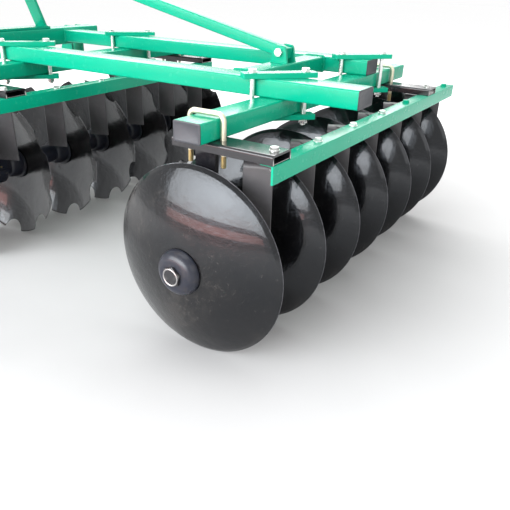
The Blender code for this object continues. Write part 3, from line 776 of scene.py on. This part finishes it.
def u_bolt(side, word, x):
    """U-bolt over the gang beam, with nuts under the arm."""
    half = BEAM_W / 2 + UB_R + UB_SIDE
    top = BEAM_TOP + UB_SIDE - 0.0005 + UB_R
    s = Shape()
    zt = BAR_TOP - 0.016            # the threads start here
    arc = [(x, BEAM_Y - half, zt), (x, BEAM_Y - half, BEAM_LOW + 0.01), (x, BEAM_Y - half, top - UB_BEND)]
    for i in range(1, 9):
        a = pi - i * pi / 16
        arc.append((x, BEAM_Y - half + UB_BEND + UB_BEND * cos(a), top - UB_BEND + UB_BEND * sin(a)))
    arc += [(p[0], 2 * BEAM_Y - p[1], p[2]) for p in arc[::-1]]
    s.rod(arc, UB_R, 20)
    s.slot(1)
    for d in (-1, 1):
        y = BEAM_Y + d * half
        thread(s, (x, y, zt + 0.001), (0, 0, -1), UB_R * 0.99, 0.0325, 0.0018, 18)
        under = ARM_TOP - ARM_T - GAP
        washer(s, (x, y, under - 0.0025), (0, 0, 1), 0.0150, 0.0025)
        hexhead(s, (x, y, under - 0.0025), (0, 0, -1), 0.0235, 0.0110, 0.3)
    piece("ubolt_%s_%s" % (side, word), s, [YELLOW, BRASSY], "frame", GANG[side],
          ["%s_ubolt_%s" % (side, word)])


def hanger(side, word, x):
    """Bearing hanger under an arm: web, foot plate, split housing round a spool."""
    top, c = ARM_TOP - ARM_T - GAP, AXLE_Z
    s = Shape()
    lo_y, hi_y = BEAM_Y - 0.033, BEAM_Y + 0.033
    web = fillet([(lo_y, top - 0.004), (hi_y, top - 0.004), (hi_y, BAR_TOP - 0.085), (0.060, c + 0.151),
                  (0.060, c + 0.066), (-0.060, c + 0.066), (-0.060, c + 0.151), (lo_y, BAR_TOP - 0.085)],
                 [0, 0, 0.03, 0.03, 0, 0, 0.03, 0.03], 6)
    s.prism(web, x - 0.008, x + 0.008, "X")
    s.prism(rounded(0.066, 0.066, 0.006, x, BEAM_Y), top - 0.0095, top, "Z")
    # foot plate and the two halves of the bearing housing
    s.prism(rounded(0.070, 0.128, 0.006, x, 0.0), c + 0.055, c + 0.066, "Z")
    s.slot(1)
    ring_o = 0.052
    body = []
    for i in range(25):
        a = pi * i / 24
        body.append((ring_o * cos(a), c - 0.010 - ring_o * 0.98 * sin(a)))
    half = body + [(-0.062, c - 0.010), (-0.062, c + 0.004), (-0.054, c + 0.008), (-0.054, c + 0.0545),
                   (0.054, c + 0.0545), (0.054, c + 0.008), (0.062, c + 0.004), (0.062, c - 0.010)]
    bore = SPOOL_R + 0.0012
    hole = [(bore * cos(2 * pi * k / 40), c + bore * sin(2 * pi * k / 40)) for k in range(40)]
    ring_prism(s, half, hole, x - 0.031, x + 0.031)
    # raised end covers
    for d in (-1, 1):
        m = Matrix.Translation((x + d * 0.031, 0, c))
        if d < 0:
            m = m @ Matrix.Rotation(pi, 4, "Z")
        cover = [(bore, 0), (bore, 0.0038), (0.0445, 0.0038), (0.0475, 0.002), (0.0495, 0)]
        s.turned(cover, 48, m, closed=True)
    # four bolts down through the foot with nuts below, and the grease nipple
    s.slot(2)
    for sy in (-1, 1):
        for sx in (-0.018, 0.018):
            hexhead(s, (x + sx, sy * 0.0555, c - 0.006), (0, 0, -1), 0.0165, 0.0065, 0.2)
            hexhead(s, (x + sx, sy * 0.0500, c + 0.066), (0, 0, 1), 0.0165, 0.0065, 0.1)
    s.slot(3)
    s.turned([(0, 0), (0.0045, 0), (0.0045, 0.004), (0.0025, 0.0055), (0.0022, 0.009), (0.0036, 0.0105),
              (0.0030, 0.013), (0, 0.0135)], 16, frame_to((x, -0.048, c + 0.018), (0, -1, 0.15)))
    piece("hanger_%s_%s" % (side, word), s, [BLACK, HUB, WORN, BRASSY], "frame", GANG[side],
          ["%s_hanger_%s" % (side, word)], bevel=0.0009)


def ring_prism(s, outer, hole, lo, hi):
    """Block along X with a round hole: two faces with a hole, outside and inside walls."""
    def edge_loop(pts, w):
        vs = [s.bm.verts.new((w, a, b)) for a, b in pts]
        return vs, [s.bm.edges.new((vs[i], vs[(i + 1) % len(vs)])) for i in range(len(vs))]

    sides = []
    for w in (lo, hi):
        vo, eo = edge_loop(outer, w)
        vh, eh = edge_loop(hole, w)
        bmesh.ops.triangle_fill(s.bm, use_beauty=True, use_dissolve=False, edges=eo + eh)
        sides.append((vo, vh))
    for a, b in ((sides[0][0], sides[1][0]), (sides[0][1], sides[1][1])):
        n = len(a)
        for i in range(n):
            j = (i + 1) % n
            s.bm.faces.new((a[i], a[j], b[j], b[i]))


for side in ("rear", "front"):
    for word, x in zip(("left", "right"), SPOTS[side]):
        arm(side, word, x)
        u_bolt(side, word, x)
        hanger(side, word, x)


# ------------------------------------------------------------------ clamps
def clamp(side, word, x):
    """Two plates and two bolts, set slantwise over the crossing of a main tube and a gang beam."""
    y = BEAM_Y - x * sin(TURN) if side == "rear" else SPREAD + BEAM_Y + x * sin(TURN)
    dx, dy = TUBE_W / 2 + 0.011, BEAM_W / 2 + 0.013
    place = Matrix.Translation((x, y, 0)) @ Matrix.Rotation(-atan2(dy, dx), 4, "Z")
    up, low, t = TUBE_TOP + GAP, BEAM_LOW - GAP, CLAMP_T
    s = Shape()
    for z in (up, low - t):
        s.prism(rounded(CLAMP_L, CLAMP_W, 0.003), z, z + t, "Z")
    s.slot(1)
    for d in (-1, 1):
        p = Vector((d * hypot(dx, dy), 0, 0))
        s.rod([(p.x, 0, low - 0.001), (p.x, 0, up + 0.001)], 0.0078, 24)
        thread(s, (p.x, 0, low + 0.030), (0, 0, -1), 0.0081, 0.030 + t + 0.020, 0.002, 20)
        washer(s, (p.x, 0, up + t), (0, 0, 1), 0.0150, 0.0025)
        hexhead(s, (p.x, 0, up + t + 0.0025), (0, 0, 1), 0.0240, 0.0085, 0.2 + d)
        washer(s, (p.x, 0, low - t), (0, 0, -1), 0.0150, 0.0025)
        hexhead(s, (p.x, 0, low - t - 0.0025), (0, 0, -1), 0.0240, 0.0120, 0.5 * d)
    piece("clamp_%s_%s" % (side, word), s, [GREEN, ZINC], "frame", ROOT @ place,
          ["%s_clamp_%s" % (side, word)], bevel=0.0009)


for side in ("rear", "front"):
    for word, x in zip(("left", "right"), TUBE_X):
        clamp(side, word, x)

# ------------------------------------------------------------------ front cross tube, hitch, mast
head_y, head_z = TUBE_FRONT + GAP, (TUBE_LOW + TUBE_TOP) / 2
s = Shape()
box_tube(s, "X", HITCH_X - HEAD_L / 2, HITCH_X + HEAD_L / 2, HEAD_S, HEAD_S,
         head_y + HEAD_S / 2, head_z, 0.008)
for x in TUBE_X:
    loop = rounded(TUBE_W + 0.002, TUBE_H + 0.002, 0.0075, x, head_z, 4)
    weld(s, [(a, head_y - 0.0026, b) for a, b in loop + loop[:1]], 0.0042)
piece("front_cross", s, [GREEN, CAP], "frame", ROOT, ["front_cross_tube"])

pin_y = head_y + HEAD_S + 0.058
for word, sd in (("left", -1), ("right", 1)):
    x = HITCH_X + sd * HITCH_SPREAD / 2
    y0, z1, z0 = head_y + HEAD_S + GAP, head_z + HEAD_S / 2, head_z - HEAD_S / 2
    cheek = fillet([(y0, z1), (y0, z0 - 0.060), (pin_y - 0.030, HITCH_Z - 0.034),
                    (pin_y + 0.024, HITCH_Z - 0.034), (pin_y + 0.036, HITCH_Z - 0.010),
                    (pin_y + 0.034, HITCH_Z + 0.030), (y0 + 0.040, z1)],
                   [0.004, 0.02, 0.02, 0.02, 0.02, 0.03, 0.01], 6)
    s = Shape()
    s.prism(cheek, x - 0.042, x - 0.030, "X")
    s.prism(cheek, x + 0.030, x + 0.042, "X")
    s.prism(rounded(0.072, z1 - z0 - 0.020, 0.004, x, (z0 + z1) / 2), y0, y0 + 0.010, "Y")
    for xs in (x - 0.043, x + 0.043):
        weld(s, [(xs, y0 + 0.001, z0 + 0.004), (xs, y0 + 0.001, z1 - 0.004)], 0.004)
    s.slot(1)
    s.rod([(x - 0.055, pin_y, HITCH_Z), (x + 0.055, pin_y, HITCH_Z)], HITCH_PIN_R, 32)
    s.turned([(0, 0), (0.0185, 0), (0.0195, 0.001), (0.0195, 0.005), (0.0180, 0.0065), (0, 0.0065)], 32,
             frame_to((x - sd * 0.0515, pin_y, HITCH_Z), (-sd, 0, 0)))
    ring = [(x + sd * 0.050, pin_y + 0.017 * cos(a), HITCH_Z + 0.017 * sin(a) - 0.004)
            for a in [2 * pi * i / 28 for i in range(27)]]
    s.rod(ring, 0.0018, 8)
    s.rod([(x + sd * 0.050, pin_y, HITCH_Z - 0.021), (x + sd * 0.050, pin_y, HITCH_Z + 0.021)], 0.0026, 10)
    piece("hitch_" + word, s, [GREEN, ZINC], "frame", ROOT, ["lower_hitch_" + word],
          bevel=0.0012)

top = Vector((HITCH_X, head_y + HEAD_S / 2, HITCH_Z + MAST_H))
# mast plates: thickness, width, half the gap between them at the foot and at the top
MAST_T, MAST_W, SPLAY, INNER = 0.014, 0.070, 0.150, 0.0285
base_z = head_z + HEAD_S / 2 + GAP
bend_z = top.z - 0.110
s = Shape()
for sd in (-1, 1):
    line = [(HITCH_X + sd * SPLAY, base_z + 0.006), (HITCH_X + sd * (SPLAY + MAST_T), base_z + 0.006),
            (HITCH_X + sd * (INNER + MAST_T), bend_z), (HITCH_X + sd * (INNER + MAST_T), top.z + 0.040),
            (HITCH_X + sd * INNER, top.z + 0.040), (HITCH_X + sd * INNER, bend_z)]
    s.prism(fillet(line, [0, 0, 0.03, 0.001, 0.001, 0.03], 6), top.y - MAST_W / 2, top.y + MAST_W / 2, "Y")
    for yy in (top.y - MAST_W / 2, top.y + MAST_W / 2):
        weld(s, [(HITCH_X + sd * w, yy, base_z + 0.0105) for w in (SPLAY, SPLAY + MAST_T)], 0.004)
s.prism(rounded(2 * SPLAY + 0.060, 0.076, 0.005, HITCH_X, top.y), base_z, base_z + 0.010, "Z")
s.slot(1)
s.rod([(HITCH_X - 0.066, top.y, top.z), (HITCH_X + 0.070, top.y, top.z)], TOP_PIN_R, 28)
s.turned([(0, 0), (0.018, 0), (0.019, 0.001), (0.019, 0.005), (0.0175, 0.0065), (0, 0.0065)], 32,
         frame_to((HITCH_X - 0.0435, top.y, top.z), (-1, 0, 0)))
s.rod([(HITCH_X + 0.058, top.y, top.z - 0.020), (HITCH_X + 0.058, top.y, top.z + 0.020)], 0.0025, 10)
s.rod([(HITCH_X + 0.058, top.y + 0.016 * cos(2 * pi * i / 28), top.z + 0.016 * sin(2 * pi * i / 28) - 0.003)
       for i in range(27)], 0.0017, 8)
sz = top.z - 0.075                  # height of the stay's upper pin
s.rod([(HITCH_X - 0.043, top.y, sz), (HITCH_X + 0.052, top.y, sz)], STAY_PIN_R, 24)
hexhead(s, (HITCH_X - 0.0426, top.y, sz), (-1, 0, 0), 0.027, 0.011)
washer(s, (HITCH_X + 0.0426, top.y, sz), (1, 0, 0), 0.016)
hexhead(s, (HITCH_X + 0.0450, top.y, sz), (1, 0, 0), 0.026, 0.010, 0.5)
piece("mast_frame", s, [GREEN, ZINC], "frame", ROOT, ["mast"], bevel=0.0012)

head = Vector((HITCH_X, top.y, sz))
run = head - foot
span = hypot(run.y, run.z)
tilt = Matrix.Translation(foot) @ Matrix.Rotation(atan2(run.z, run.y), 4, "X")
s = Shape()
rings = [[tilt @ Vector((a, q, b)) for a, b in rounded(w, h, r)]
         for q, w, h, r in ((-0.022, 0.041, 0.036, 0.004), (-0.0205, 0.044, 0.038, 0.005),
                            (span + 0.0205, 0.044, 0.038, 0.005), (span + 0.022, 0.041, 0.036, 0.004))]
s.loops(rings)
piece("stay", s, [GREEN], "frame", ROOT, ["mast_stay"])

# ------------------------------------------------------------------ stage, light, camera
bpy.ops.mesh.primitive_plane_add(size=60, location=(0, 0, -0.0012))
floor = bpy.context.object
floor.name = "studio_floor"
# pale floor with painted shade: darker near the machine, like a shadow round it, so that the discs mirror
# less of it
fm, ft, fb = new_mat("floor_painted_shade")
far = ft.nodes.new("ShaderNodeVectorMath")
far.operation = "LENGTH"
ft.links.new(coords(ft), far.inputs[0])
tenths = mathn(ft, "MULTIPLY", far.outputs["Value"], 0.1)
# painted shade: grey near the machine, pale further out
shade = ramp(ft, tenths, [(0.11, grey(0.41)), (0.31, grey(0.88)), (0.80, grey(0.98))])
patches = ramp(ft, noise(ft, 1.5, 3), [(0.3, grey(0)), (0.7, grey(0.06))])
ft.links.new(mixc(ft, patches, shade, grey(0.9)), fb.inputs["Base Color"])
fb.inputs["Roughness"].default_value = 0.9
floor.data.materials.append(fm)

world = bpy.data.worlds.new("studio")
bpy.context.scene.world = world
world.use_nodes = True
wt = world.node_tree
bg = wt.nodes["Background"]
tc = wt.nodes.new("ShaderNodeTexCoord")
sp = wt.nodes.new("ShaderNodeSeparateXYZ")
wt.links.new(tc.outputs["Generated"], sp.inputs[0])
height = mathn(wt, "MULTIPLY_ADD", sp.outputs[2], 0.5)
sky = ramp(wt, height, [(0.0, grey(0.95)), (0.5, grey(0.97)), (1.0, grey(1.0))])
wt.links.new(sky, bg.inputs["Color"])
bg.inputs["Strength"].default_value = 1.02


def glow(name, loc, target, width, height, radiance, colour=(1, 1, 1), spread=180):
    """Soft panel of a given brightness, aimed at target; a narrow spread leaves the floor darker."""
    d = bpy.data.lights.new(name, "AREA")
    d.shape, d.size, d.size_y = "RECTANGLE", width, height
    d.energy, d.color, d.spread = radiance * pi * width * height, colour, radians(spread)
    o = bpy.data.objects.new(name, d)
    bpy.context.scene.collection.objects.link(o)
    o.location = loc
    o.rotation_mode = "QUATERNION"
    o.rotation_quaternion = (Vector(target) - Vector(loc)).to_track_quat("-Z", "Y")


glow("sky_left", (-4.6, 0.35, 1.85), (-0.7, -0.7, 0.35), 6.6, 2.1, 4.3, (0.94, 0.97, 1.0), 100)
glow("horizon_left", (-4.4, 0.4, 0.42), (-0.7, -0.6, 0.30), 5.2, 0.34, 2.6, (1.0, 0.46, 0.42), 100)
glow("sky_right", (3.4, 2.6, 3.1), (0, 0, 0.6), 6.0, 3.4, 4.2)
glow("overhead", (-0.4, -0.6, 4.6), (0, 0, 0.4), 3.0, 3.0, 2.4)
glow("fill_back", (-1.6, -4.6, 2.2), (0, 0, 0.5), 3.4, 2.2, 1.4)

# the camera of the photo, placed from the ground below the rear gang's first disc
scene = bpy.context.scene
scene.view_settings.view_transform = "Standard"
cam = bpy.data.cameras.new("view")
cam.lens, cam.sensor_width = 40.18, 36.0
cam.clip_start, cam.clip_end = 0.05, 100
eye = bpy.data.objects.new("view", cam)
scene.collection.objects.link(eye)
ahead = Vector((0.7695, 0.4626, -0.4403)).normalized()
level = ahead.cross(Vector((0, 0, 1))).normalized()
rise = level.cross(ahead)
roll = radians(1.762)
right = level * cos(roll) + rise * sin(roll)
over = rise * cos(roll) - level * sin(roll)
view = Matrix((right, over, -ahead)).transposed().to_4x4()
view.translation = ROOT @ Vector((-1.127, -0.865, 0.998))
eye.matrix_world = view
scene.camera = eye

bpy.context.view_layer.update()
